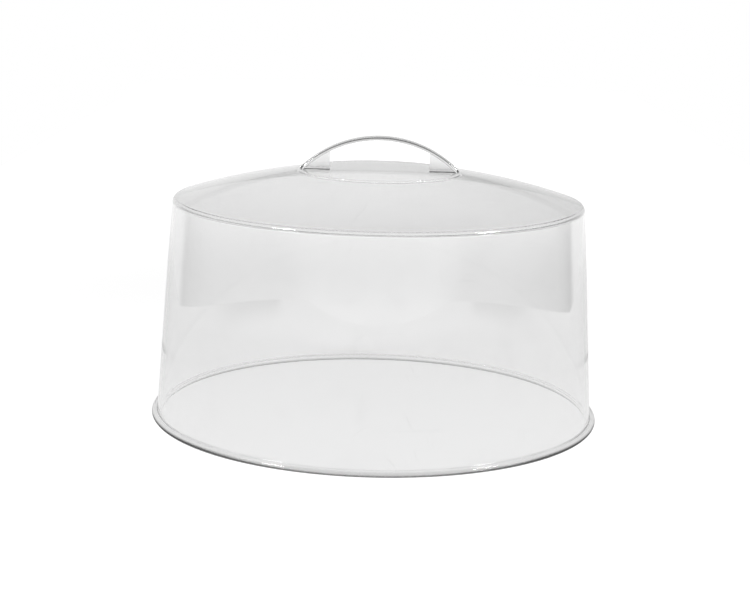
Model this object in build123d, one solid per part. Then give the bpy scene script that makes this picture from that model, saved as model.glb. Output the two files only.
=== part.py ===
from build123d import *
import os
from math import sqrt

# A clear moulded cake cover: a tapered round shell, open below, with a low crown,
# and a bow handle bonded to the flat land in the middle of the crown.
# Millimetres. +Z is up, X runs along the handle, and the origin is the centre of
# the mouth, in the plane that the rim rests on.

# Cover shell
MOUTH_DIAMETER = 306.0      # inside of the wall, in the plane of the rim
WALL_THICKNESS = 2.5        # wall, crown and land
TOP_DIAMETER = 289.3        # outside, where the wall's and the crown's lines cross
SHOULDER_HEIGHT = 154.6     # height of that crossing above the mouth
SHOULDER_RADIUS = 4.0       # outside radius between the wall and the crown
CROWN_RISE = 20.2           # from that crossing up to the land
LAND_DIAMETER = 113.5       # flat round land that carries the handle
LAND_STEP = 0.5             # height of the land's edge above the crown

# Rim bead, which is part of the shell's moulding
RIM_OVERHANG = 3.5          # how far the bead stands out from the wall's foot
RIM_HEIGHT = 4.0
RIM_EDGE_RADIUS = 1.95      # on the bead's two outer corners
RIM_ROOT_RADIUS = 1.2       # between the bead's top and the wall

# Bow handle
HANDLE_INSET = 1.4          # land left free beyond each end of the handle
HANDLE_RISE = 24.1          # land to the top of the strap
STRAP_WIDTH = 11.0
STRAP_THICKNESS = 2.6
STRAP_EDGE_RADIUS = 1.15
TOE_HEIGHT = 1.6            # upright end face of the strap
FINGER_LENGTH = 70.0        # clear length between the two webs
WEB_THICKNESS = 3.0
FOOT_WIDTH = 8.0            # bonded flange under each web
FOOT_THICKNESS = 1.8

LAND_HEIGHT = SHOULDER_HEIGHT + CROWN_RISE
HANDLE_HALF = LAND_DIAMETER / 2 - HANDLE_INSET


def crown_arc(outer, inner):
    """The arc between two (radius, height) points of a sphere centred on the axis."""
    centre_z = (inner[0] ** 2 + inner[1] ** 2 - outer[0] ** 2 - outer[1] ** 2) / (2 * (inner[1] - outer[1]))
    sphere_radius = sqrt(outer[0] ** 2 + (outer[1] - centre_z) ** 2)
    middle = (outer[0] + inner[0]) / 2
    return ThreePointArc(outer, (middle, centre_z + sqrt(sphere_radius ** 2 - middle ** 2)), inner)


def rounded(face, corner, radius):
    """The flat face with a fillet at the vertex nearest to corner."""
    return fillet(face.vertices().sort_by_distance((*corner, 0))[0], radius)


def shell_section():
    """Half section of the shell, drawn as (radius, height)."""
    inner_foot = (MOUTH_DIAMETER / 2, 0)
    outer_foot = (MOUTH_DIAMETER / 2 + WALL_THICKNESS, 0)
    outer_top = (TOP_DIAMETER / 2, SHOULDER_HEIGHT)
    lean = (outer_foot[0] - outer_top[0]) / SHOULDER_HEIGHT
    inner_top = (outer_top[0] - WALL_THICKNESS * (1 - lean), SHOULDER_HEIGHT - WALL_THICKNESS)
    land_edge = (LAND_DIAMETER / 2, LAND_HEIGHT - LAND_STEP)
    land_corner = (LAND_DIAMETER / 2, LAND_HEIGHT)
    under_edge = (LAND_DIAMETER / 2, LAND_HEIGHT - WALL_THICKNESS)
    rim_foot = (outer_foot[0] + RIM_OVERHANG, 0)
    rim_top = (rim_foot[0], RIM_HEIGHT)
    rim_root = (outer_foot[0] - lean * RIM_HEIGHT, RIM_HEIGHT)

    outline = [
        Polyline(inner_foot, rim_foot, rim_top, rim_root, outer_top),
        crown_arc(outer_top, land_edge),
        Polyline(land_edge, land_corner, (0, LAND_HEIGHT), (0, under_edge[1]), under_edge),
        crown_arc(inner_top, under_edge),
        Line(inner_top, inner_foot),
    ]
    face = make_face(outline)
    face = rounded(face, outer_top, SHOULDER_RADIUS)
    face = rounded(face, inner_top, SHOULDER_RADIUS - WALL_THICKNESS)
    face = rounded(face, rim_root, RIM_ROOT_RADIUS)
    face = rounded(face, rim_foot, RIM_EDGE_RADIUS)
    face = rounded(face, rim_top, RIM_EDGE_RADIUS)
    return rounded(face, land_corner, LAND_STEP * 0.6)


def cover_shell():
    """Wall, shoulder, crown, land and rim bead in one moulding."""
    return revolve(Plane.XZ * shell_section(), Axis.Z)


def strap():
    """The bowed grip: two arcs about one centre, ending in a toe at each end."""
    rise = HANDLE_RISE - TOE_HEIGHT
    outer_radius = (HANDLE_HALF ** 2 + rise ** 2) / (2 * rise)
    inner_radius = outer_radius - STRAP_THICKNESS
    centre_z = HANDLE_RISE - outer_radius
    seat_start = sqrt(inner_radius ** 2 - centre_z ** 2)
    outline = [
        ThreePointArc((-HANDLE_HALF, TOE_HEIGHT), (0, HANDLE_RISE), (HANDLE_HALF, TOE_HEIGHT)),
        Polyline((HANDLE_HALF, TOE_HEIGHT), (HANDLE_HALF, 0), (seat_start, 0)),
        ThreePointArc((seat_start, 0), (0, HANDLE_RISE - STRAP_THICKNESS), (-seat_start, 0)),
        Polyline((-seat_start, 0), (-HANDLE_HALF, 0), (-HANDLE_HALF, TOE_HEIGHT)),
    ]
    solid = extrude(Plane.XZ * make_face(outline), STRAP_WIDTH / 2, both=True)
    sides = solid.faces().filter_by(Axis.Y)
    long_edges = sides.edges().filter_by(GeomType.CIRCLE)
    return fillet(long_edges, STRAP_EDGE_RADIUS), centre_z, (outer_radius + inner_radius) / 2


def carry_handle():
    """Strap, a web under each end of it and a foot flange under each web, in one moulding."""
    bow, centre_z, middle_radius = strap()
    web_start = FINGER_LENGTH / 2
    under_bow = Pos(0, centre_z) * Circle(middle_radius)
    handle = bow
    for side in (-1, 1):
        end_box = Pos(side * (web_start + HANDLE_HALF) / 2, HANDLE_RISE / 2) * Rectangle(
            HANDLE_HALF - web_start, HANDLE_RISE
        )
        web = extrude(Plane.XZ * (end_box & under_bow), WEB_THICKNESS / 2, both=True)
        foot = Box(
            HANDLE_HALF - STRAP_EDGE_RADIUS - web_start,
            FOOT_WIDTH,
            FOOT_THICKNESS,
            align=(Align.MIN, Align.CENTER, Align.MIN),
        )
        foot = Pos(web_start, 0, 0) * foot
        handle += web + (foot if side > 0 else foot.mirror(Plane.YZ))
    return Pos(0, 0, LAND_HEIGHT) * handle


os.makedirs("parts", exist_ok=True)
export_step(cover_shell(), "parts/cover_shell.step")
export_step(carry_handle(), "parts/carry_handle.step")
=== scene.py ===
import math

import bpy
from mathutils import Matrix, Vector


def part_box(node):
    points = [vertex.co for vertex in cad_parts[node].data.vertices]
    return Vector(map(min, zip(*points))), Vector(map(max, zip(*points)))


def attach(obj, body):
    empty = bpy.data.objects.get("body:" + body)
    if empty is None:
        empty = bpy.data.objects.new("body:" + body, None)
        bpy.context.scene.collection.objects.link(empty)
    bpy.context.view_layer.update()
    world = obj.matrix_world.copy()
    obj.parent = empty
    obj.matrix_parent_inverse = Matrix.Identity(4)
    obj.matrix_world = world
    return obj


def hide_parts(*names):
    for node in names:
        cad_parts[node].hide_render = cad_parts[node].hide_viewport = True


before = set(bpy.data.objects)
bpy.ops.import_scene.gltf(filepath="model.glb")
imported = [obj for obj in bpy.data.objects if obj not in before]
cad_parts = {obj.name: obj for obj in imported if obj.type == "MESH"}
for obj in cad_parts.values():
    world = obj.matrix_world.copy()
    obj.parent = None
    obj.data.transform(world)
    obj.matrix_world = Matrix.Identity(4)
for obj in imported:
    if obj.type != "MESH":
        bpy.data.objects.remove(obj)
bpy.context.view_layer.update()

# %% [markdown]
# # A clear cake cover
# The object is a clear moulded plastic cover that stands over a cake: a round shell,
# open below, and a bow handle bonded to the flat land on its top. Both pieces are see-through,
# so what makes them look real is smooth curved geometry with a true wall thickness, a good
# clear material, and a studio that has both bright and dark parts to be mirrored.
# The overall sizes are measured on the two CAD nodes, and the small ones, such as the wall's
# thickness and the radii, are given where they are first needed.

MM = 0.001     # a millimetre in metres, the unit of the frame
shell_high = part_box("cover_shell")[1]
handle_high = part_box("carry_handle")[1]
RIM_RADIUS = shell_high.x
LAND_Z = shell_high.z
HANDLE_HALF = handle_high.x
HANDLE_TOP = handle_high.z
STRAP_HALF_WIDTH = handle_high.y
print("rim radius", round(RIM_RADIUS, 4), "land", round(LAND_Z, 4), "handle top", round(HANDLE_TOP, 4))


# %% [markdown]
# ## Working by hand, in code
# Each piece is modelled with the operators that a modeller uses by hand. An operator acts on all
# that is selected, so everything is deselected before a new primitive is added. A finished piece
# keeps its object at the origin and its place in its mesh, and its faces point outwards.

# %% Helpers for modelling
MERGE_DISTANCE = 1e-6
LOW_CORNER = 0      # of the eight corners in an object's bound_box
HIGH_CORNER = 6


def start_piece():
    """Leaves object mode clean, with nothing selected, before a primitive is added."""
    if bpy.context.object and bpy.context.object.mode != "OBJECT":
        bpy.ops.object.mode_set(mode="OBJECT")
    bpy.ops.object.select_all(action="DESELECT")


def name_piece(name):
    """Names the active object and its mesh, and puts its place into the mesh."""
    piece = bpy.context.object
    piece.name = name
    piece.data.name = name
    bpy.ops.object.transform_apply(location=True, rotation=True, scale=True)
    return piece


def apply_modifier(piece, kind, **settings):
    """Adds a modifier with these settings to the piece and applies it."""
    bpy.ops.object.select_all(action="DESELECT")
    bpy.context.view_layer.objects.active = piece
    piece.select_set(True)
    bpy.ops.object.modifier_add(type=kind)
    modifier = piece.modifiers[-1]
    for setting, value in settings.items():
        setattr(modifier, setting, value)
    bpy.ops.object.modifier_apply(modifier=modifier.name)


def outward_faces(piece, merge=MERGE_DISTANCE):
    """Merges doubled points and turns every face outwards."""
    bpy.context.view_layer.objects.active = piece
    bpy.ops.object.mode_set(mode="EDIT")
    bpy.ops.mesh.select_all(action="SELECT")
    bpy.ops.mesh.remove_doubles(threshold=merge)
    bpy.ops.mesh.delete_loose(use_verts=True, use_edges=True, use_faces=False)
    bpy.ops.mesh.normals_make_consistent(inside=False)
    bpy.ops.object.mode_set(mode="OBJECT")


def print_piece(piece):
    """Prints how many faces a piece has, and the corners of its box in millimetres."""
    low, high = piece.bound_box[LOW_CORNER], piece.bound_box[HIGH_CORNER]
    corners = [tuple(round(value / MM, 2) for value in corner) for corner in (low, high)]
    print(piece.name, len(piece.data.polygons), "faces, box", corners)


# %% [markdown]
# ## The shell
# The real shell is one moulding: a tapered wall, a rounded shoulder, a low crown, a small flat
# land in the middle and a turned-out bead round the mouth. A cylinder could be scaled and
# bevelled into that, but clear plastic shows both of its faces, so the wall needs a true
# thickness everywhere. It is drawn as a half section, with the outside and the inside in one
# closed line, and spun round. Corners are rounded by arcs of the right radius, because the bent
# light at the shoulder and in the bead is what draws them.

# %% The shell's sizes
WALL = 2.5 * MM
TOP_RADIUS = 144.65 * MM
SHOULDER_Z = 154.6 * MM
SHOULDER_RADIUS = 4.0 * MM
LAND_RADIUS = 56.75 * MM
LAND_STEP = 0.5 * MM
LAND_EDGE_RADIUS = LAND_STEP * 0.6
RIM_OVERHANG = 3.5 * MM
RIM_HEIGHT = 4.0 * MM
RIM_EDGE_RADIUS = 1.95 * MM
RIM_ROOT_RADIUS = 1.2 * MM
FOOT_RADIUS = RIM_RADIUS - RIM_OVERHANG
LEAN = (FOOT_RADIUS - TOP_RADIUS) / SHOULDER_Z
print("the wall leans in by", round(math.degrees(math.atan(LEAN)), 2), "degrees")


# %% Points along arcs and lines
def crown_points(outer, inner, steps):
    """Points after outer, up to and with inner, on a sphere centred on the axis."""
    centre = (inner[0] ** 2 + inner[1] ** 2 - outer[0] ** 2 - outer[1] ** 2) / (2 * (inner[1] - outer[1]))
    radius = math.hypot(outer[0], outer[1] - centre)
    spans = [outer[0] + (inner[0] - outer[0]) * step / steps for step in range(1, steps + 1)]
    return [(span, centre + math.sqrt(radius ** 2 - span ** 2)) for span in spans]


def straight_points(start, end, steps):
    """Points after start, up to and with end, on a straight line."""
    return [
        (start[0] + (end[0] - start[0]) * step / steps, start[1] + (end[1] - start[1]) * step / steps)
        for step in range(1, steps + 1)
    ]


def corner_arc(before, corner, after, radius, steps):
    """Points of the arc of this radius that rounds the corner between two nearly straight runs."""
    corner_at = Vector(corner)
    towards = (Vector(before) - corner_at).normalized()
    away = (Vector(after) - corner_at).normalized()
    half_angle = towards.angle(away) / 2
    tangent = radius / math.tan(half_angle)
    centre = corner_at + (towards + away).normalized() * radius / math.sin(half_angle)
    first = corner_at + towards * tangent - centre
    last = corner_at + away * tangent - centre
    turn = first.angle_signed(last)
    return [tuple(centre + Matrix.Rotation(-turn * step / steps, 2) @ first) for step in range(steps + 1)]


# %% Drawing a line of edges
def draw_chain(points):
    """A chain of edges through these (radius, height) points, in the XZ plane."""
    start_piece()
    bpy.ops.mesh.primitive_plane_add(size=WALL, location=(points[0][0], 0, points[0][1]))
    bpy.ops.object.transform_apply(location=True, rotation=True, scale=True)
    bpy.ops.object.mode_set(mode="EDIT")
    bpy.ops.mesh.select_mode(type="VERT")
    bpy.ops.mesh.select_all(action="SELECT")
    bpy.ops.mesh.merge(type="CENTER")
    for before, after in zip(points, points[1:]):
        step = (after[0] - before[0], 0, after[1] - before[1])
        bpy.ops.mesh.extrude_region_move(TRANSFORM_OT_translate={"value": step})
    bpy.ops.object.mode_set(mode="OBJECT")
    return bpy.context.object


# %% Corners of the section, as radius and height
inner_foot = (FOOT_RADIUS - WALL, 0)
rim_foot = (RIM_RADIUS, 0)
rim_top = (RIM_RADIUS, RIM_HEIGHT)
rim_root = (FOOT_RADIUS - LEAN * RIM_HEIGHT, RIM_HEIGHT)
outer_top = (TOP_RADIUS, SHOULDER_Z)
land_edge = (LAND_RADIUS, LAND_Z - LAND_STEP)
land_corner = (LAND_RADIUS, LAND_Z)
under_edge = (LAND_RADIUS, LAND_Z - WALL)
inner_top = (TOP_RADIUS - WALL * (1 - LEAN), SHOULDER_Z - WALL)

# %% Curved runs of the section
CROWN_STEPS = 40
RIM_EDGE_STEPS = 6
RIM_ROOT_STEPS = 5
OUTER_SHOULDER_STEPS = 14
INNER_SHOULDER_STEPS = 10
LAND_EDGE_STEPS = 3
outer_crown = crown_points(outer_top, land_edge, CROWN_STEPS)
inner_crown = crown_points(inner_top, under_edge, CROWN_STEPS)
rim_arcs = (
    corner_arc(inner_foot, rim_foot, rim_top, RIM_EDGE_RADIUS, RIM_EDGE_STEPS)
    + corner_arc(rim_foot, rim_top, rim_root, RIM_EDGE_RADIUS, RIM_EDGE_STEPS)
    + corner_arc(rim_top, rim_root, outer_top, RIM_ROOT_RADIUS, RIM_ROOT_STEPS)
)
outer_shoulder = corner_arc(
    rim_root, outer_top, outer_crown[1], SHOULDER_RADIUS, OUTER_SHOULDER_STEPS
)
inner_shoulder = corner_arc(
    inner_crown[1], inner_top, inner_foot, SHOULDER_RADIUS - WALL, INNER_SHOULDER_STEPS
)
land_arc = corner_arc(land_edge, land_corner, (0, LAND_Z), LAND_EDGE_RADIUS, LAND_EDGE_STEPS)

# %% The whole half section
WALL_STEPS = 24
LAND_STEPS = 12
section_points = (
    [inner_foot]
    + rim_arcs
    + straight_points(rim_arcs[-1], outer_shoulder[0], WALL_STEPS)
    + outer_shoulder[1:]
    + outer_crown[1:]
    + land_arc
    + straight_points((LAND_RADIUS - LAND_EDGE_RADIUS, LAND_Z), (0, LAND_Z), LAND_STEPS)
    + [(0, under_edge[1])]
    + straight_points((0, under_edge[1]), under_edge, LAND_STEPS)
    + inner_crown[-2:0:-1]
    + inner_shoulder
    + straight_points(inner_shoulder[-1], inner_foot, WALL_STEPS)
)
section = draw_chain(section_points)
print("section", len(section_points), "points drawn,", len(section.data.vertices), "in the mesh")


# %% [markdown]
# ### Once round
# Spin turns the section about the cover's axis, as a lathe would. It leaves doubled points
# where it meets itself and on the axis, and it may turn the faces inwards, so the points are merged
# and the normals made consistent. Weighted normals keep the long faces flat in the shading.

# %% Spin the section into the shell
TURN_STEPS = 288
SPIN_MERGE_DISTANCE = 2e-6


def spin_round(chain, name):
    """Spins the chain once round the Z axis and closes it."""
    bpy.ops.object.mode_set(mode="EDIT")
    bpy.ops.mesh.select_all(action="SELECT")
    bpy.ops.mesh.spin(steps=TURN_STEPS, angle=math.tau, center=(0, 0, 0), axis=(0, 0, 1))
    bpy.ops.object.mode_set(mode="OBJECT")
    piece = name_piece(name)
    outward_faces(piece, merge=SPIN_MERGE_DISTANCE)
    bpy.ops.object.shade_smooth()
    apply_modifier(piece, "WEIGHTED_NORMAL", weight=100, keep_sharp=False)
    return piece


clear_shell = spin_round(section, "clear_shell")
print_piece(clear_shell)


# %% [markdown]
# ## The handle
# The handle is a moulding of its own: a bowed strap whose ends come down to the land, a thin web
# under each end, and a flat foot under each web that is cemented down.
# ### The strap
# The strap is the same rounded rectangle all along, so that section is drawn once, its
# corners bevelled, and spun along the bow's arc a little too far at both ends. Bisect then cuts
# it off level with the land and upright at its toes. A curve with a bevel would sweep it as
# well, but the cut ends would need closing by hand.

# %% The handle's sizes
BOND_GAP = 0.05 * MM     # keeps two clear faces from lying in one plane
SEAT_Z = LAND_Z + BOND_GAP
STRAP_THICKNESS = 2.6 * MM
STRAP_EDGE_RADIUS = 1.15 * MM
TOE_HEIGHT = 1.6 * MM
FINGER_HALF = 35 * MM
WEB_THICKNESS = 3.0 * MM
FOOT_WIDTH = 8.0 * MM
FOOT_THICKNESS = 1.8 * MM
bow_rise = HANDLE_TOP - LAND_Z - TOE_HEIGHT
BOW_RADIUS = (HANDLE_HALF ** 2 + bow_rise ** 2) / (2 * bow_rise)
BOW_MIDDLE = BOW_RADIUS - STRAP_THICKNESS / 2
BOW_CENTRE = Vector((0, 0, HANDLE_TOP - BOW_RADIUS))
BOW_OVERRUN = math.radians(5)
BOW_HALF_ANGLE = math.asin(HANDLE_HALF / BOW_MIDDLE) + BOW_OVERRUN
print("the bow's radius is", round(BOW_RADIUS / MM, 1), "mm")


# %% The handle's strap
BOW_STEPS = 96
STRAP_EDGE_SEGMENTS = 4
QUARTER_TURN = math.radians(90)


def cut_away(place, outward):
    """Cuts off all that lies beyond this plane and closes the cut."""
    bpy.ops.mesh.select_all(action="SELECT")
    bpy.ops.mesh.bisect(plane_co=place, plane_no=outward, use_fill=True, clear_outer=True)


def make_strap():
    """A rounded rectangle swept along the bow's arc and cut off at the land and at both ends."""
    start_piece()
    start = BOW_CENTRE + Matrix.Rotation(-BOW_HALF_ANGLE, 3, "Y") @ Vector((0, 0, BOW_MIDDLE))
    turned = Matrix.Rotation(-BOW_HALF_ANGLE, 3, "Y") @ Matrix.Rotation(QUARTER_TURN, 3, "Y")
    bpy.ops.mesh.primitive_plane_add(size=1, location=start, rotation=turned.to_euler())
    bpy.context.object.scale = (STRAP_THICKNESS, STRAP_HALF_WIDTH * 2, 1)
    bpy.ops.object.transform_apply(location=True, rotation=True, scale=True)
    bpy.ops.object.mode_set(mode="EDIT")
    bpy.ops.mesh.select_all(action="SELECT")
    bpy.ops.mesh.bevel(affect="VERTICES", offset=STRAP_EDGE_RADIUS, segments=STRAP_EDGE_SEGMENTS)
    bpy.ops.mesh.select_all(action="SELECT")
    bpy.ops.mesh.spin(steps=BOW_STEPS, angle=2 * BOW_HALF_ANGLE, center=BOW_CENTRE, axis=(0, -1, 0))
    cut_away((0, 0, SEAT_Z), (0, 0, -1))
    cut_away((HANDLE_HALF, 0, 0), (1, 0, 0))
    cut_away((-HANDLE_HALF, 0, 0), (-1, 0, 0))
    bpy.ops.object.mode_set(mode="OBJECT")
    strap = name_piece("clear_handle")
    outward_faces(strap)
    return strap


clear_handle = make_strap()
print_piece(clear_handle)


# %% [markdown]
# ### Webs and feet
# Under each end of the bow there is an upright web in line with the handle, whose top follows the
# strap, and a wider foot flange on the land. A block cut by a cylinder of the bow's radius gives the
# web its curved top. Blocks and strap are joined by exact booleans, so that the handle is one
# closed solid, as clear plastic has to be: faces left inside it would show. One small bevel then
# rounds all the sharp edges at once, as a mould does.

# %% Blocks and booleans
def add_block(low, high):
    """A box between two corners, as an object of its own."""
    start_piece()
    low, high = Vector(low), Vector(high)
    bpy.ops.mesh.primitive_cube_add(size=1, location=(low + high) / 2)
    bpy.context.object.scale = high - low
    bpy.ops.object.transform_apply(location=True, rotation=True, scale=True)
    return bpy.context.object


def join_solids(piece, other, operation):
    """Applies an exact boolean of the other solid to the piece, and deletes the other."""
    apply_modifier(piece, "BOOLEAN", operation=operation, solver="EXACT", object=other)
    bpy.data.objects.remove(other)


# %% Webs and feet
BOW_ROUND_SIDES = 384
web_start = FINGER_HALF
web_end = HANDLE_HALF - STRAP_EDGE_RADIUS
for low_x, high_x in ((-web_end, -web_start), (web_start, web_end)):
    web = add_block((low_x, -WEB_THICKNESS / 2, SEAT_Z), (high_x, WEB_THICKNESS / 2, HANDLE_TOP))
    start_piece()
    bpy.ops.mesh.primitive_cylinder_add(
        vertices=BOW_ROUND_SIDES,
        radius=BOW_MIDDLE,
        depth=FOOT_WIDTH,
        location=BOW_CENTRE,
        rotation=(QUARTER_TURN, 0, 0),
    )
    join_solids(web, bpy.context.object, "INTERSECT")
    foot = add_block((low_x, -FOOT_WIDTH / 2, SEAT_Z), (high_x, FOOT_WIDTH / 2, LAND_Z + FOOT_THICKNESS))
    join_solids(web, foot, "UNION")
    join_solids(clear_handle, web, "UNION")
outward_faces(clear_handle)

# %% Rounded edges
BEVEL_WIDTH = 0.4 * MM
BEVEL_FROM_ANGLE = math.radians(40)
SHARP_FROM_ANGLE = math.radians(35)
apply_modifier(
    clear_handle,
    "BEVEL",
    width=BEVEL_WIDTH,
    segments=3,
    limit_method="ANGLE",
    angle_limit=BEVEL_FROM_ANGLE,
)
bpy.ops.object.shade_smooth_by_angle(angle=SHARP_FROM_ANGLE)
apply_modifier(clear_handle, "WEIGHTED_NORMAL", weight=80, keep_sharp=True)
print_piece(clear_handle)


# %% [markdown]
# ## What the two pieces are made of
# The cover is clear acrylic or a similar plastic, moulded and a couple of millimetres thick.
# Real clear plastic isn't a perfect nothing: the mould leaves a faint waviness, wiping leaves
# hairlines that run round the wall, hands leave a haze on the top, and the rim that slides on the
# table is scuffed. Each of these is a shader node group with its own inputs, so that both
# plastics can use it at their own strength. A group only gives masks and heights. The shader
# itself stays in the material.

# %% Node helpers
def add_node(tree, kind, **settings):
    """Adds a node and sets these properties on it."""
    node = tree.nodes.new(kind)
    for setting, value in settings.items():
        setattr(node, setting, value)
    return node


def feed(tree, source, target):
    """Links an output to an input, or writes a plain value there."""
    if isinstance(source, bpy.types.NodeSocket):
        tree.links.new(source, target)
    else:
        target.default_value = source


def compute(tree, operation, *values):
    """A Math node on these values or outputs; gives its output."""
    node = add_node(tree, "ShaderNodeMath", operation=operation)
    for socket, value in zip(node.inputs, values):
        feed(tree, value, socket)
    return node.outputs["Value"]


def between(tree, value, low, high):
    """0 below low, 1 above high and a smooth step in between; low above high turns it round."""
    node = add_node(tree, "ShaderNodeMapRange", interpolation_type="SMOOTHSTEP")
    feed(tree, value, node.inputs["Value"])
    node.inputs["From Min"].default_value = min(low, high)
    node.inputs["From Max"].default_value = max(low, high)
    node.inputs["To Min"].default_value = 0 if low < high else 1
    node.inputs["To Max"].default_value = 1 if low < high else 0
    return node.outputs["Result"]


def blend(tree, share, first, second):
    """A number that goes from first to second as share goes from 0 to 1."""
    node = add_node(tree, "ShaderNodeMix", data_type="FLOAT")
    feed(tree, share, node.inputs["Factor"])
    feed(tree, first, node.inputs["A"])
    feed(tree, second, node.inputs["B"])
    return node.outputs["Result"]


def noise(tree, position, scale, detail=2.0, roughness=0.5, stretch=(1, 1, 1)):
    """A noise texture on this position, drawn out along an axis where stretch is below 1."""
    mapping = add_node(tree, "ShaderNodeMapping")
    feed(tree, position, mapping.inputs["Vector"])
    mapping.inputs["Scale"].default_value = stretch
    texture = add_node(tree, "ShaderNodeTexNoise")
    feed(tree, mapping.outputs["Vector"], texture.inputs["Vector"])
    texture.inputs["Scale"].default_value = scale
    texture.inputs["Detail"].default_value = detail
    texture.inputs["Roughness"].default_value = roughness
    return texture.outputs["Fac"]


def new_group(name, inputs, outputs):
    """An empty shader node group with these sockets, and its input and output nodes."""
    group = bpy.data.node_groups.new(name, "ShaderNodeTree")
    for socket_name, kind, value in inputs:
        socket = group.interface.new_socket(name=socket_name, in_out="INPUT", socket_type=kind)
        if value is not None:
            socket.default_value = value
    for socket_name, kind in outputs:
        group.interface.new_socket(name=socket_name, in_out="OUTPUT", socket_type=kind)
    return group, add_node(group, "NodeGroupInput"), add_node(group, "NodeGroupOutput")


FLOAT, VECTOR = "NodeSocketFloat", "NodeSocketVector"


# %% [markdown]
# ### Waviness left by the mould
# A polished steel mould is never perfectly even, and the plastic shrinks a little as it cools.
# Lamps reflected in the wall get softly bent edges from it. It could be sculpted into the mesh,
# but the height is a few hundredths of a millimetre, so two sizes of noise in a bump are enough.

# %% Group: mould waviness
SWELL_SCALE = 14
RIPPLE_SCALE = 60
RIPPLE_SHARE = 0.12


def mould_waviness():
    """Height, in metres, of the faint swells that the mould leaves."""
    group, given, result = new_group(
        "mould waviness", [("Position", VECTOR, None), ("Depth", FLOAT, 0.00002)], [("Height", FLOAT)]
    )
    swell = noise(group, given.outputs["Position"], SWELL_SCALE, detail=1.0)
    ripple = noise(group, given.outputs["Position"], RIPPLE_SCALE, detail=1.0)
    both = compute(group, "MULTIPLY_ADD", ripple, RIPPLE_SHARE, swell)
    height = compute(group, "MULTIPLY", both, given.outputs["Depth"])
    feed(group, height, result.inputs["Height"])
    return group


# %% [markdown]
# ### Hairline scratches
# Washing and wiping leave hairlines far finer than a pixel, most of them running round the wall.
# Noise drawn out along the ground and cut off near its top gives short thin streaks. A second,
# broad noise lets them come in patches, as real ones do.

# %% Group: wiping hairlines
HAIRLINE_SCALE = 60
PATCH_SCALE = 22
ROUND_THE_WALL = (0.6, 0.6, 40)
ACROSS_THE_TOP = (0.5, 34, 0.5)


def wiping_hairlines():
    """1 on a hairline and 0 off it. Amount is how much of the surface has them."""
    group, given, result = new_group(
        "wiping hairlines", [("Position", VECTOR, None), ("Amount", FLOAT, 0.5)], [("Mask", FLOAT)]
    )
    position = given.outputs["Position"]
    on_wall = noise(group, position, HAIRLINE_SCALE, detail=3.0, stretch=ROUND_THE_WALL)
    on_top = noise(group, position, HAIRLINE_SCALE, detail=3.0, stretch=ACROSS_THE_TOP)
    either = compute(group, "MAXIMUM", on_wall, on_top)
    thin = between(group, either, 0.66, 0.72)
    patches = between(group, noise(group, position, PATCH_SCALE), 0.42, 0.62)
    mask = compute(group, "MULTIPLY", compute(group, "MULTIPLY", thin, patches), given.outputs["Amount"])
    feed(group, mask, result.inputs["Mask"])
    return group


# %% [markdown]
# ### Haze from hands
# Finger marks and dried water are soft cloudy patches. They hardly show straight on and turn
# a reflection a little milky. Warped noise gives the wiped, drawn-out look.

# %% Group: handling haze
WARP_SCALE = 9
WARP_REACH = (0.05, 0.05, 0.05)
CLOUD_SCALE = 26
PRINT_SCALE = 120


def handling_haze():
    """A cloudy mask of smears. Amount is how strong they are."""
    group, given, result = new_group(
        "handling haze", [("Position", VECTOR, None), ("Amount", FLOAT, 0.5)], [("Mask", FLOAT)]
    )
    warp = add_node(group, "ShaderNodeTexNoise")
    feed(group, given.outputs["Position"], warp.inputs["Vector"])
    warp.inputs["Scale"].default_value = WARP_SCALE
    shifted = add_node(group, "ShaderNodeVectorMath", operation="MULTIPLY_ADD")
    feed(group, warp.outputs["Color"], shifted.inputs[0])
    shifted.inputs[1].default_value = WARP_REACH
    feed(group, given.outputs["Position"], shifted.inputs[2])
    clouds = between(group, noise(group, shifted.outputs[0], CLOUD_SCALE, detail=5.0), 0.5, 0.74)
    prints = between(group, noise(group, shifted.outputs[0], PRINT_SCALE, detail=2.0), 0.45, 0.7)
    broken = compute(group, "MULTIPLY", clouds, compute(group, "MULTIPLY_ADD", prints, 0.5, 0.5))
    feed(group, compute(group, "MULTIPLY", broken, given.outputs["Amount"]), result.inputs["Mask"])
    return group


# %% [markdown]
# ### Scuffs where it rubs
# The rim's foot drags on the table and the handle's crest is gripped. A scuff is a band given by a
# distance, broken up by fine noise, so that it fades out in grains and not along a ruled line.

# %% Group: rubbed band
GRAIN_SCALE = 900


def rubbed_band():
    """1 where Distance is 0 or less, fading out in grains up to Reach."""
    group, given, result = new_group(
        "rubbed band",
        [("Position", VECTOR, None), ("Distance", FLOAT, 1.0), ("Reach", FLOAT, 0.001)],
        [("Mask", FLOAT)],
    )
    share = compute(group, "DIVIDE", given.outputs["Distance"], given.outputs["Reach"])
    grains = noise(group, given.outputs["Position"], GRAIN_SCALE, detail=4.0, roughness=0.7)
    worn = compute(group, "ADD", share, grains)
    feed(group, between(group, worn, 1.05, 0.55), result.inputs["Mask"])
    return group


waviness_group = mould_waviness()
hairline_group = wiping_hairlines()
haze_group = handling_haze()
rubbed_group = rubbed_band()
print("shared finishes:", [group.name for group in bpy.data.node_groups])
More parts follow.
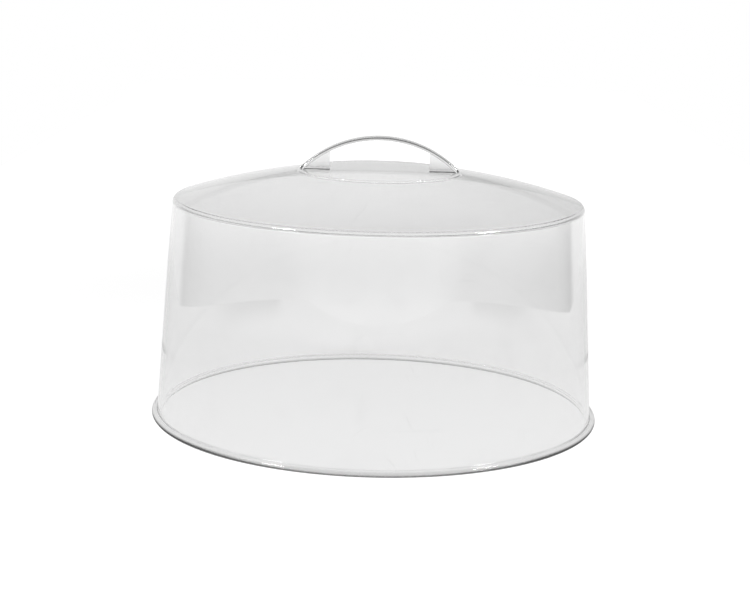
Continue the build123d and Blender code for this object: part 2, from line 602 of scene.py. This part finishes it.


# %% [markdown]
# ### The clear plastic itself
# A Principled BSDF with full transmission and an index of refraction of 1.49 bends and mirrors
# light as clear acrylic does, and a faint absorption inside greys the thick places. That alone
# looks wrong in three ways, because of how a path tracer finds its light:
# lamp light can't come through refracting plastic, so shadow and diffuse rays pass straight through;
# light that is caught between the two faces of the wall runs on inside it until it is cut off as
# black, so after a few mirrorings it is let out, at a level that depends on the place, which is
# painted light at the shell's shoulder and painted shade in its bead and in the handle;
# and a few places, such as the rounded underside of the bead, are dark because they show what is
# dark beside the table, so they get a dark share of painted shade there.
# Light Path and Layer Weight do this, and they stay in the material itself, not in a group.
# Bounces are counted in whole numbers, so their limits lie halfway between two counts.

# %% Levels of the clear plastic
PLASTIC_IOR = 1.49
PLASTIC_DENSITY = 6.0
WAVE_DEPTH = 0.02 * MM
PASSING_LEVEL = 0.94
GUIDED_LEVEL = 0.94
GUIDED_MIRRORINGS = 1.5
DEEPEST_BOUNCE = 9.5
FIRST_PASSAGE = 1.5
FIRST_MIRRORING = 0.5
POLISHED_ROUGHNESS = 0.015
HAZY_ROUGHNESS = 0.05
SCRATCHED_ROUGHNESS = 0.10
WORN_ROUGHNESS = 0.45
SATIN_ROUGHNESS = 0.34
SMEAR_SHARE = 0.35
SHELL_CLEAR = (0.98, 0.98, 0.98, 1)
HANDLE_CLEAR = (0.95, 0.95, 0.95, 1)
HAZY = (0.86, 0.86, 0.86, 1)
# DARK is the colour of painted shade, and of the cement's bubbles on the handle's seat.
DARK = (0.03, 0.03, 0.03, 1)


# %% Starting a material
def new_material(name):
    """An empty node material, its tree and its output node."""
    material = bpy.data.materials.new(name)
    material.use_nodes = True
    material.node_tree.nodes.clear()
    return material, material.node_tree, add_node(material.node_tree, "ShaderNodeOutputMaterial")


def place_group(tree, group, **inputs):
    """A shared finish in this material, with its inputs fed."""
    node = add_node(tree, "ShaderNodeGroup", node_tree=group)
    for name, value in inputs.items():
        feed(tree, value, node.inputs[name])
    return node


def mix_shaders(tree, share, first, second):
    """A Mix Shader that goes from first to second as share goes from 0 to 1."""
    mix = add_node(tree, "ShaderNodeMixShader")
    feed(tree, share, mix.inputs["Fac"])
    feed(tree, first, mix.inputs[1])
    feed(tree, second, mix.inputs[2])
    return mix.outputs["Shader"]


# %% Places on the object
def split(tree, vector):
    """The X, Y and Z of a position or a normal."""
    node = add_node(tree, "ShaderNodeSeparateXYZ")
    feed(tree, vector, node.inputs[0])
    return node.outputs["X"], node.outputs["Y"], node.outputs["Z"]


def height_of(tree, position):
    """The height above the table."""
    return split(tree, position)[2]


def radius_of(tree, position):
    """The distance from the cover's axis."""
    flat = add_node(tree, "ShaderNodeVectorMath", operation="MULTIPLY")
    feed(tree, position, flat.inputs[0])
    flat.inputs[1].default_value = (1, 1, 0)
    length = add_node(tree, "ShaderNodeVectorMath", operation="LENGTH")
    feed(tree, flat.outputs[0], length.inputs[0])
    return length.outputs["Value"]


def askew(tree):
    """0 where the surface is seen straight on, and 1 where it is seen edge on."""
    weight = add_node(tree, "ShaderNodeLayerWeight")
    weight.inputs["Blend"].default_value = 0.5
    return weight.outputs["Facing"]


# %% Light that passes and light that is guided
def let_light_through(tree, position, path, plastic, guided_light):
    """Mixes in a Transparent BSDF for shadow and diffuse rays and for light guided inside the wall."""
    lit = compute(tree, "MAXIMUM", path.outputs["Is Shadow Ray"], path.outputs["Is Diffuse Ray"])
    near_side = compute(tree, "LESS_THAN", path.outputs["Transmission Depth"], FIRST_PASSAGE)
    guided_level, early = guided_light(tree, position, near_side)
    mirrorings = compute(tree, "ADD", path.outputs["Glossy Depth"], early)
    guided = compute(tree, "GREATER_THAN", mirrorings, GUIDED_MIRRORINGS)
    deep = compute(tree, "GREATER_THAN", path.outputs["Ray Depth"], DEEPEST_BOUNCE)
    guided = compute(tree, "MAXIMUM", guided, deep)
    passing = add_node(tree, "ShaderNodeBsdfTransparent")
    feed(tree, blend(tree, lit, guided_level, PASSING_LEVEL), passing.inputs["Color"])
    return mix_shaders(tree, compute(tree, "MAXIMUM", lit, guided), plastic, passing.outputs["BSDF"])


def darken(tree, share, surface):
    """Mixes a dark diffuse surface over another: painted shade, and on the handle's seat also the
    cement's bubbles.
    """
    dark = add_node(tree, "ShaderNodeBsdfDiffuse")
    dark.inputs["Color"].default_value = DARK
    return mix_shaders(tree, share, surface, dark.outputs["BSDF"])


# %% Colour and roughness from the marks
def marked_colour(tree, clear, smears, lines, worn):
    """The clear colour, and hazy where there are smears, hairlines or scuffs."""
    marks = compute(tree, "MAXIMUM", compute(tree, "MULTIPLY", smears, SMEAR_SHARE), lines)
    colour = add_node(tree, "ShaderNodeMix", data_type="RGBA")
    feed(tree, compute(tree, "MAXIMUM", marks, worn), colour.inputs["Factor"])
    colour.inputs["A"].default_value = clear
    colour.inputs["B"].default_value = HAZY
    return colour.outputs["Result"]


def marked_roughness(tree, smears, lines, worn, satin):
    """Polished plastic, rougher by each kind of mark."""
    roughness = compute(tree, "MULTIPLY_ADD", smears, HAZY_ROUGHNESS, POLISHED_ROUGHNESS)
    roughness = compute(tree, "MULTIPLY_ADD", lines, SCRATCHED_ROUGHNESS, roughness)
    roughness = compute(tree, "MULTIPLY_ADD", worn, WORN_ROUGHNESS, roughness)
    return compute(tree, "MULTIPLY_ADD", satin, SATIN_ROUGHNESS, roughness)


# %% Material: clear plastic
def clear_plastic(name, clear, haze, hairlines, worn_at, satin_at, guided_light, dark_at):
    """Clear plastic. The last four are functions that give masks and levels by place."""
    material, tree, output = new_material(name)
    position = add_node(tree, "ShaderNodeTexCoord").outputs["Object"]
    path = add_node(tree, "ShaderNodeLightPath")
    smears = place_group(tree, haze_group, Position=position, Amount=haze).outputs["Mask"]
    lines = place_group(tree, hairline_group, Position=position, Amount=hairlines).outputs["Mask"]
    worn = worn_at(tree, position)

    swells = place_group(tree, waviness_group, Position=position, Depth=WAVE_DEPTH)
    bump = add_node(tree, "ShaderNodeBump")
    bump.inputs["Strength"].default_value = 1.0
    bump.inputs["Distance"].default_value = 1.0
    feed(tree, swells.outputs["Height"], bump.inputs["Height"])

    plastic = add_node(tree, "ShaderNodeBsdfPrincipled")
    plastic.inputs["Transmission Weight"].default_value = 1.0
    plastic.inputs["Metallic"].default_value = 0.0
    plastic.inputs["IOR"].default_value = PLASTIC_IOR
    feed(tree, marked_colour(tree, clear, smears, lines, worn), plastic.inputs["Base Color"])
    roughness = marked_roughness(tree, smears, lines, worn, satin_at(tree, position))
    feed(tree, roughness, plastic.inputs["Roughness"])
    feed(tree, bump.outputs["Normal"], plastic.inputs["Normal"])

    surface = let_light_through(tree, position, path, plastic.outputs["BSDF"], guided_light)
    surface = darken(tree, dark_at(tree, position, path), surface)
    feed(tree, surface, output.inputs["Surface"])

    inside = add_node(tree, "ShaderNodeVolumeAbsorption")
    inside.inputs["Color"].default_value = (0.0, 0.0, 0.0, 1)
    inside.inputs["Density"].default_value = PLASTIC_DENSITY
    feed(tree, inside.outputs["Volume"], output.inputs["Volume"])
    print(name, len(tree.nodes), "nodes")
    return material


# %% [markdown]
# ### The shell's finish
# The shell is polished all over and only its foot, which drags on the table, is scuffed. Guided
# light is let out at a level above one at the shoulder, where the wall turns, which is painted
# light, and at a low level in the near bead, which is painted shade. The bead's outside gets darker
# downwards and where it is seen askew, and a streaky dark line runs in the narrow root between the
# bead and the wall; both are painted shade, seen by camera rays only. All of this follows height and
# radius on the shell, so it is the same all round, and one noise breaks the root's line into streaks.
# Painting it on the mesh would do too, but a mask from the place needs no second set of points.

# %% Shell finish: scuffs and guided light
FOOT_WEAR = 0.8
FOOT_WEAR_REACH = 0.8 * MM
# A low guided level in the near bead is painted shade, and a level above one at the shoulder is painted
# light.
PAINTED_SHADE_IN_NEAR_BEAD = 0.8
PAINTED_LIGHT_AT_SHOULDER = 0.3
BEAD_FADE = 1.5 * MM
SHOULDER_FADE = 6 * MM


def worn_foot(tree, position):
    """The scuffed foot of the rim, by its height above the table."""
    height = height_of(tree, position)
    band = place_group(tree, rubbed_group, Position=position, Distance=height, Reach=FOOT_WEAR_REACH)
    return compute(tree, "MULTIPLY", band.outputs["Mask"], FOOT_WEAR)


def polished(tree, position):
    """Nothing on the shell is left satin by the mould."""
    return 0.0


def guided_in_shell(tree, position, near_side):
    """The level of guided light, and 1 in the far bead, where it gets out after one mirroring."""
    height = height_of(tree, position)
    in_bead = between(tree, height, RIM_HEIGHT + BEAD_FADE, RIM_HEIGHT)
    in_shoulder = between(tree, height, SHOULDER_Z - SHOULDER_FADE, SHOULDER_Z)
    # The near bead is darkened as painted shade, and the shoulder brightened as painted light.
    near_bead = compute(tree, "MULTIPLY", in_bead, near_side)
    near_bead_shade = compute(tree, "MULTIPLY", near_bead, PAINTED_SHADE_IN_NEAR_BEAD)
    level = compute(tree, "MULTIPLY_ADD", in_shoulder, PAINTED_LIGHT_AT_SHOULDER, GUIDED_LEVEL)
    level = compute(tree, "SUBTRACT", level, near_bead_shade)
    far_bead = compute(tree, "MULTIPLY", in_bead, compute(tree, "SUBTRACT", 1, near_side))
    return level, far_bead


# %% Shell finish: the bead
# Levels of painted shade on the bead's outside.
DARK_UNDER = 0.6
DARK_MIDDLE = 0.28
DARK_EDGE = 0.3


def bead_shade(tree, height, edge_on):
    """How much painted shade the bead's outside gets: at mid height, on the underside seen askew, and at
    its edge.
    """
    low = between(tree, height, 3.7 * MM, 1.9 * MM)
    under = compute(tree, "MULTIPLY", low, between(tree, edge_on, 0.05, 0.4))
    below_top = between(tree, height, 4.4 * MM, 2.2 * MM)
    middle = compute(tree, "MULTIPLY", below_top, between(tree, height, 0.6 * MM, 1.8 * MM))
    middle = compute(tree, "MULTIPLY", middle, DARK_MIDDLE)
    shade = compute(tree, "MULTIPLY_ADD", under, DARK_UNDER, middle)
    edge = compute(tree, "MULTIPLY", between(tree, edge_on, 0.8, 1.0), DARK_EDGE)
    return compute(tree, "MAXIMUM", shade, edge)


# Painted shade in the crease between the bead and the wall, broken into streaks by noise.
ROOT_SHADE_SCALE = 60
LEAST_ROOT_SHADE = 0.06
ROOT_SHADE_IN_STREAKS = 0.12


def root_shade(tree, position, height, edge_on):
    """The streaky line of painted shade in the root between the bead and the wall."""
    above_bead = between(tree, height, 3.8 * MM, 4.4 * MM)
    root = compute(tree, "MULTIPLY", above_bead, between(tree, height, 5.6 * MM, 4.8 * MM))
    streaks = between(tree, noise(tree, position, ROOT_SHADE_SCALE, detail=3), 0.35, 0.6)
    amount = compute(tree, "MULTIPLY_ADD", streaks, ROOT_SHADE_IN_STREAKS, LEAST_ROOT_SHADE)
    amount = compute(tree, "MULTIPLY", amount, between(tree, edge_on, 0.0, 0.5))
    return compute(tree, "MULTIPLY", root, amount)


def painted_bead_shade(tree, position, path):
    """Painted shade on the bead and in its root, on the outside of the shell, for camera rays only."""
    height = height_of(tree, position)
    radius = radius_of(tree, position)
    edge_on = askew(tree)
    on_bead = between(tree, radius, RIM_RADIUS - RIM_OVERHANG, RIM_RADIUS - 2.5 * MM)
    on_root = between(tree, radius, RIM_RADIUS - 5 * MM, RIM_RADIUS - 4.6 * MM)
    shade = compute(tree, "MULTIPLY", bead_shade(tree, height, edge_on), on_bead)
    root_darkening = compute(tree, "MULTIPLY", root_shade(tree, position, height, edge_on), on_root)
    return compute(tree, "MULTIPLY", compute(tree, "MAXIMUM", shade, root_darkening), path.outputs["Is Camera Ray"])


# %% [markdown]
# ### The handle's finish
# The handle is a moulding of its own, a shade greyer than the shell because it is made of
# thicker plastic. Hands have dulled its crest. The flat sides of its webs are satin, as a mould
# often leaves them, so that they read as soft grey panes. Its feet are cemented to the land. Solvent
# cement dries clear with a few bubbles, so from above the joint nearly disappears. Seen along the
# land the seat is a dark line, which is painted shade. A layer of its own between the two pieces
# would be thinner than a hair, so the bubbles and the painted shade are a mask on the seat of each
# foot instead. Light guided inside the strap is let out at half level, which darkens it as painted shade.

# %% Handle finish: crest and webs
CREST_WEAR = 0.12
CREST_WEAR_REACH = 3 * MM
# Guided light in the handle is let out at half level, as painted shade on the strap.
GUIDED_SHADE_IN_HANDLE = 0.5


def worn_crest(tree, position):
    """The gripped crest, by the distance below its highest point."""
    below = compute(tree, "SUBTRACT", HANDLE_TOP, height_of(tree, position))
    band = place_group(tree, rubbed_group, Position=position, Distance=below, Reach=CREST_WEAR_REACH)
    return compute(tree, "MULTIPLY", band.outputs["Mask"], CREST_WEAR)


def satin_webs(tree, position):
    """1 on the flat sides of the webs."""
    normal = add_node(tree, "ShaderNodeNewGeometry").outputs["True Normal"]
    sideways = compute(tree, "ABSOLUTE", split(tree, normal)[1])
    across = compute(tree, "ABSOLUTE", split(tree, position)[1])
    thin = between(tree, across, WEB_THICKNESS / 2 + 0.4 * MM, WEB_THICKNESS / 2)
    return compute(tree, "MULTIPLY", between(tree, sideways, 0.8, 0.95), thin)


def guided_in_handle(tree, position, near_side):
    """Light that runs along inside the strap is let out at half level, which darkens the strap as painted
    shade, and none of it gets out early.
    """
    return GUIDED_SHADE_IN_HANDLE, 0.0


# %% Handle finish: the cemented seat and its painted shade
BUBBLE_SCALE = 900
DARK_BUBBLES = 0.14
DARK_FROM_ABOVE = 0.03
PAINTED_SHADE_ALONG = 0.86


def cement_and_seat_shade(tree, position, path):
    """The cement's faint bubbles under the feet, and painted shade that turns the seat dark when it is
    seen along it.
    """
    seat = between(tree, height_of(tree, position), SEAT_Z + 0.06 * MM, SEAT_Z + 0.03 * MM)
    bubbles = noise(tree, position, BUBBLE_SCALE, detail=3, roughness=0.6)
    bubbles = between(tree, bubbles, 0.42, 0.62)
    clouded = compute(tree, "MULTIPLY_ADD", bubbles, DARK_BUBBLES, DARK_FROM_ABOVE)
    # Painted shade: the seat turns dark when it is seen along it.
    along = compute(tree, "MULTIPLY", between(tree, askew(tree), 0.45, 0.8), PAINTED_SHADE_ALONG)
    lit = compute(tree, "MAXIMUM", path.outputs["Is Shadow Ray"], path.outputs["Is Diffuse Ray"])
    shown = compute(tree, "MULTIPLY", seat, compute(tree, "SUBTRACT", 1, lit))
    return compute(tree, "MULTIPLY", compute(tree, "MAXIMUM", along, clouded), shown)


# %% Both plastics on their pieces
def dress(piece, material):
    """Gives the piece this one material."""
    piece.data.materials.clear()
    piece.data.materials.append(material)


shell_plastic = clear_plastic(
    "clear shell plastic",
    clear=SHELL_CLEAR,
    haze=0.6,
    hairlines=0.5,
    worn_at=worn_foot,
    satin_at=polished,
    guided_light=guided_in_shell,
    dark_at=painted_bead_shade,
)
handle_plastic = clear_plastic(
    "clear handle plastic",
    clear=HANDLE_CLEAR,
    haze=0.8,
    hairlines=0.7,
    worn_at=worn_crest,
    satin_at=satin_webs,
    guided_light=guided_in_handle,
    dark_at=cement_and_seat_shade,
)
dress(clear_shell, shell_plastic)
dress(clear_handle, handle_plastic)

# %% [markdown]
# ## Their place in the frame
# The two pieces stand for the two solids of the CAD model, which are hidden and stay there for
# contacts. The cover has no joint, so both ride on its one body.

# %% Place in the frame
for piece, node, slot in (
    (clear_shell, "cover_shell", "clear_shell"),
    (clear_handle, "carry_handle", "clear_handle"),
):
    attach(piece, "root")
    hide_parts(node)
    print(piece.name, "stands for", node)


# %% [markdown]
# ## The table
# Clear plastic is seen by what it mirrors, so the table matters as much as the cover. It is a
# round white table that runs on towards the back. Its front edge, mirrored in the wall, ends the
# grey panes at the sides of the cover. To the camera it is plain white with the cover's faint
# shadow. For the plastic its glow is painted light: a little lower under the cover than farther out
# and at its front edge, as a table is between its lamps, and it fades at its sides when it is seen in
# a mirroring, as painted shade, so that the panes end softly. A diffuse surface gives the shadow,
# and a glow, which is Emission, gives the rest.

# %% Table mesh
TABLE_RADIUS = 1.12
TABLE_CENTRE = Vector((0.02, -0.68, 0))
TABLE_FRONT = -1.3
TABLE_RUN_BACK = 2.6
BACK_HALF_WIDTH = 0.6
start_piece()
bpy.ops.mesh.primitive_circle_add(
    vertices=128, radius=TABLE_RADIUS, fill_type="NGON", location=TABLE_CENTRE
)
table = name_piece("white_table")
bpy.ops.object.mode_set(mode="EDIT")
bpy.ops.mesh.select_mode(type="EDGE")
bpy.ops.mesh.select_all(action="SELECT")
bpy.ops.mesh.bisect(plane_co=(0, TABLE_FRONT, 0), plane_no=(0, -1, 0), clear_outer=True)
bpy.ops.mesh.select_all(action="DESELECT")
bpy.ops.object.mode_set(mode="OBJECT")
for edge in table.data.edges:
    ends = [table.data.vertices[index].co for index in edge.vertices]
    edge.select = all(end.y > 0 and abs(end.x) < BACK_HALF_WIDTH for end in ends)
bpy.ops.object.mode_set(mode="EDIT")
bpy.ops.mesh.extrude_region_move(TRANSFORM_OT_translate={"value": (0, TABLE_RUN_BACK, 0)})
bpy.ops.object.mode_set(mode="OBJECT")
print("table", len(table.data.polygons), "faces")

# %% Table levels
TABLE_WHITE = (0.6, 0.6, 0.6, 1)
TABLE_GLOW = 0.345
GLOW_FARTHER = 0.46
GLOW_IN_FRONT = 0.35
GLOW_FOR_CAMERA = 0.2
SIDE_FADING = -0.95
FARTHER_FROM = 0.38     # distances from the cover's axis, in metres
FARTHER_TO = 1.3
IN_FRONT_FROM = -0.6    # along Y, up to the table's front edge
SIDES_FROM = 0.82       # distance from the table's own centre
SIDE_SLANT = 1.15       # how much of Y counts against X where the sides begin


# %% Table material
def distance_to(tree, position, place):
    """The distance from a position to a fixed place."""
    node = add_node(tree, "ShaderNodeVectorMath", operation="DISTANCE")
    feed(tree, position, node.inputs[0])
    node.inputs[1].default_value = place
    return node.outputs["Value"]


def side_fading(tree, position, x, y):
    """1 at the table's left and right edges, and 0 in front, behind and inwards."""
    sideways = compute(tree, "MULTIPLY_ADD", y, SIDE_SLANT, compute(tree, "ABSOLUTE", x))
    fading = between(tree, distance_to(tree, position, TABLE_CENTRE), SIDES_FROM, TABLE_RADIUS)
    fading = compute(tree, "MULTIPLY", between(tree, sideways, -0.1, 0.1), fading)
    return compute(tree, "MULTIPLY", between(tree, y, 0.1, -0.4), fading)


def table_white():
    """A white diffuse surface with a glow that grows outwards and towards the front, as painted light."""
    material, tree, output = new_material("white table")
    path = add_node(tree, "ShaderNodeLightPath")
    position = add_node(tree, "ShaderNodeTexCoord").outputs["Object"]
    x, y = split(tree, position)[:2]
    farther = between(tree, distance_to(tree, position, (0, 0, 0)), FARTHER_FROM, FARTHER_TO)
    glow_level = compute(tree, "MULTIPLY_ADD", farther, GLOW_FARTHER, TABLE_GLOW)
    in_front = between(tree, y, IN_FRONT_FROM, TABLE_FRONT)
    glow_level = compute(tree, "MULTIPLY_ADD", in_front, GLOW_IN_FRONT, glow_level)
    mirrored = compute(tree, "GREATER_THAN", path.outputs["Glossy Depth"], FIRST_MIRRORING)
    fading = compute(tree, "MULTIPLY", side_fading(tree, position, x, y), mirrored)
    glow_level = compute(tree, "MULTIPLY_ADD", fading, SIDE_FADING, glow_level)
    glow_level = compute(tree, "MULTIPLY_ADD", path.outputs["Is Camera Ray"], GLOW_FOR_CAMERA, glow_level)

    white = add_node(tree, "ShaderNodeBsdfDiffuse")
    white.inputs["Color"].default_value = TABLE_WHITE
    glow = add_node(tree, "ShaderNodeEmission")
    feed(tree, glow_level, glow.inputs["Strength"])
    both = add_node(tree, "ShaderNodeAddShader")
    feed(tree, white.outputs["BSDF"], both.inputs[0])
    feed(tree, glow.outputs["Emission"], both.inputs[1])
    feed(tree, both.outputs["Shader"], output.inputs["Surface"])
    return material


dress(table, table_white())


# %% [markdown]
# ## The studio
# A clear object in an evenly white room can't be seen. A photographer puts grey cards at its
# sides and leaves the ceiling dark, and their mirrorings draw the wall, the shoulder and the strap.
# Here the world does that: one ramp of levels round the horizon for rays that come from below it,
# one for rays from above it, and one ramp by height. Angles are in degrees. 0 is straight behind
# the cover, 180 is the camera's side, and positive angles are to the right. Rays that only came
# through the plastic see an even backdrop, and the camera sees plain white. Cards and walls could
# be modelled instead, but ramps are quicker to move and never get in the way of another view.

# %% Studio levels
RING_STOPS = (
    (-180, 1.20), (-141, 1.20), (-120, 0.50), (-70, 0.45), (-46, 0.90), (0, 0.90),
    (11, 0.72), (46, 0.68), (70, 0.40), (120, 0.50), (138, 1.20), (180, 1.20),
)
LOW_RING_STOPS = (
    (-180, 2.10), (-149, 2.10), (-134, 1.30), (-112, 1.15), (-85, 0.85), (-68, 0.60), (-53, 0.45),
    (-46, 0.98), (46, 0.98), (52, 0.22), (68, 0.42), (85, 0.50), (112, 0.90), (134, 0.95),
    (149, 2.10), (180, 2.10),
)
HEIGHT_STOPS = (
    (-90, 1.0), (0, 1.0), (5, 0.86), (12, 0.70), (22, 0.60), (44, 0.56), (62, 0.1), (90, 0.0),
)
BACKDROP_LOW = 1.0
BACKDROP_HIGH = 0.8
CEILING = 0.10
RINGS_MEET_FROM = -6     # the low ring gives way to the high one between here and the horizon
CEILING_FULL_AT = 40


# %% World
def level_ramp(tree, value, low, high, stops):
    """A colour ramp whose stops are (value, grey level) pairs between low and high."""
    node = add_node(tree, "ShaderNodeValToRGB")
    share = compute(tree, "DIVIDE", compute(tree, "SUBTRACT", value, low), high - low)
    feed(tree, share, node.inputs["Fac"])
    elements = node.color_ramp.elements
    while len(elements) < len(stops):
        elements.new(1.0)
    for element, (at, level) in zip(elements, stops):
        element.position = (at - low) / (high - low)
        element.color = (level, level, level, 1)
    return node.outputs["Color"]


def studio_level(tree, path):
    """How bright the studio is in the direction of a ray."""
    x, y, z = split(tree, add_node(tree, "ShaderNodeTexCoord").outputs["Generated"])
    azimuth = compute(tree, "DEGREES", compute(tree, "ARCTAN2", x, y))
    elevation = compute(tree, "DEGREES", compute(tree, "ARCSINE", z))
    mirrored = compute(tree, "GREATER_THAN", path.outputs["Glossy Depth"], FIRST_MIRRORING)
    ring_below = level_ramp(tree, azimuth, -180, 180, LOW_RING_STOPS)
    low_ring = blend(tree, mirrored, BACKDROP_LOW, ring_below)
    ring_above = level_ramp(tree, azimuth, -180, 180, RING_STOPS)
    high_ring = blend(tree, mirrored, BACKDROP_HIGH, ring_above)
    ring = blend(tree, between(tree, elevation, RINGS_MEET_FROM, 0), low_ring, high_ring)
    height = level_ramp(tree, elevation, -90, 90, HEIGHT_STOPS)
    ceiling = compute(tree, "MULTIPLY", between(tree, elevation, 0, CEILING_FULL_AT), CEILING)
    return compute(tree, "MAXIMUM", compute(tree, "MULTIPLY", ring, height), ceiling)


def build_world():
    """White for the camera, and the studio for every other ray."""
    world = bpy.data.worlds.new("studio")
    bpy.context.scene.world = world
    world.use_nodes = True
    tree = world.node_tree
    tree.nodes.clear()
    output = add_node(tree, "ShaderNodeOutputWorld")
    path = add_node(tree, "ShaderNodeLightPath")
    studio = add_node(tree, "ShaderNodeBackground")
    feed(tree, studio_level(tree, path), studio.inputs["Color"])
    white = add_node(tree, "ShaderNodeBackground")
    white.inputs["Color"].default_value = (1, 1, 1, 1)
    camera_or_studio = mix_shaders(
        tree, path.outputs["Is Camera Ray"], studio.outputs["Background"], white.outputs["Background"]
    )
    feed(tree, camera_or_studio, output.inputs["Surface"])
    print("world", len(tree.nodes), "nodes")


build_world()


# %% [markdown]
# ### Two softboxes
# The small white glints on the shoulder and the bead are two square lamps, one each side of the
# camera and above it. They are small and near, so the glints stay short. Area lamps are used
# because their square shape is what shows in the glints.

# %% Softboxes
SOFTBOX_HEIGHT = 38
SOFTBOX_DISTANCE = 1.3
SOFTBOX_SIZE = 0.25
SOFTBOX_LEVEL = 44
SOFTBOX_AIM = Vector((0, 0, 0.1))


def add_softbox(name, azimuth):
    """A square lamp aimed at the cover."""
    turn, tilt = math.radians(azimuth), math.radians(SOFTBOX_HEIGHT)
    away = Vector((math.sin(turn) * math.cos(tilt), -math.cos(turn) * math.cos(tilt), math.sin(tilt)))
    bpy.ops.object.light_add(type="AREA", location=SOFTBOX_AIM + away * SOFTBOX_DISTANCE)
    lamp = bpy.context.object
    lamp.name = name
    lamp.rotation_euler = away.to_track_quat("Z", "Y").to_euler()
    lamp.data.shape = "SQUARE"
    lamp.data.size = SOFTBOX_SIZE
    lamp.data.energy = SOFTBOX_LEVEL * math.pi * SOFTBOX_SIZE ** 2
    print(name, "at", [round(value, 2) for value in lamp.location])


add_softbox("left softbox", -55)
add_softbox("right softbox", 66)

# %% [markdown]
# ## The camera
# A long lens from a little over a metre shows the cover nearly square on, from just above its top.
# The camera looks down by twelve degrees and is rolled by one and a half, as a hand-set camera is.

# %% Camera
CAMERA_DISTANCE = 1.1905
CAMERA_PITCH = math.radians(11.89)
CAMERA_ROLL = math.radians(1.45)
LOOK_AT = Vector((-0.0009, 0, 0.0816))
LENS_MM = 80
SENSOR_MM = 36
bpy.ops.object.camera_add()
camera = bpy.context.object
camera.data.lens = LENS_MM
camera.data.sensor_width = SENSOR_MM
camera.data.clip_start = 0.01
turn = Matrix.Rotation(math.pi / 2 - CAMERA_PITCH, 4, "X") @ Matrix.Rotation(CAMERA_ROLL, 4, "Z")
eye = LOOK_AT + Vector((0, -math.cos(CAMERA_PITCH), math.sin(CAMERA_PITCH))) * CAMERA_DISTANCE
camera.matrix_world = Matrix.Translation(eye) @ turn
bpy.context.scene.camera = camera
bpy.context.scene.view_settings.view_transform = "Standard"
print("camera at", [round(value, 3) for value in eye])
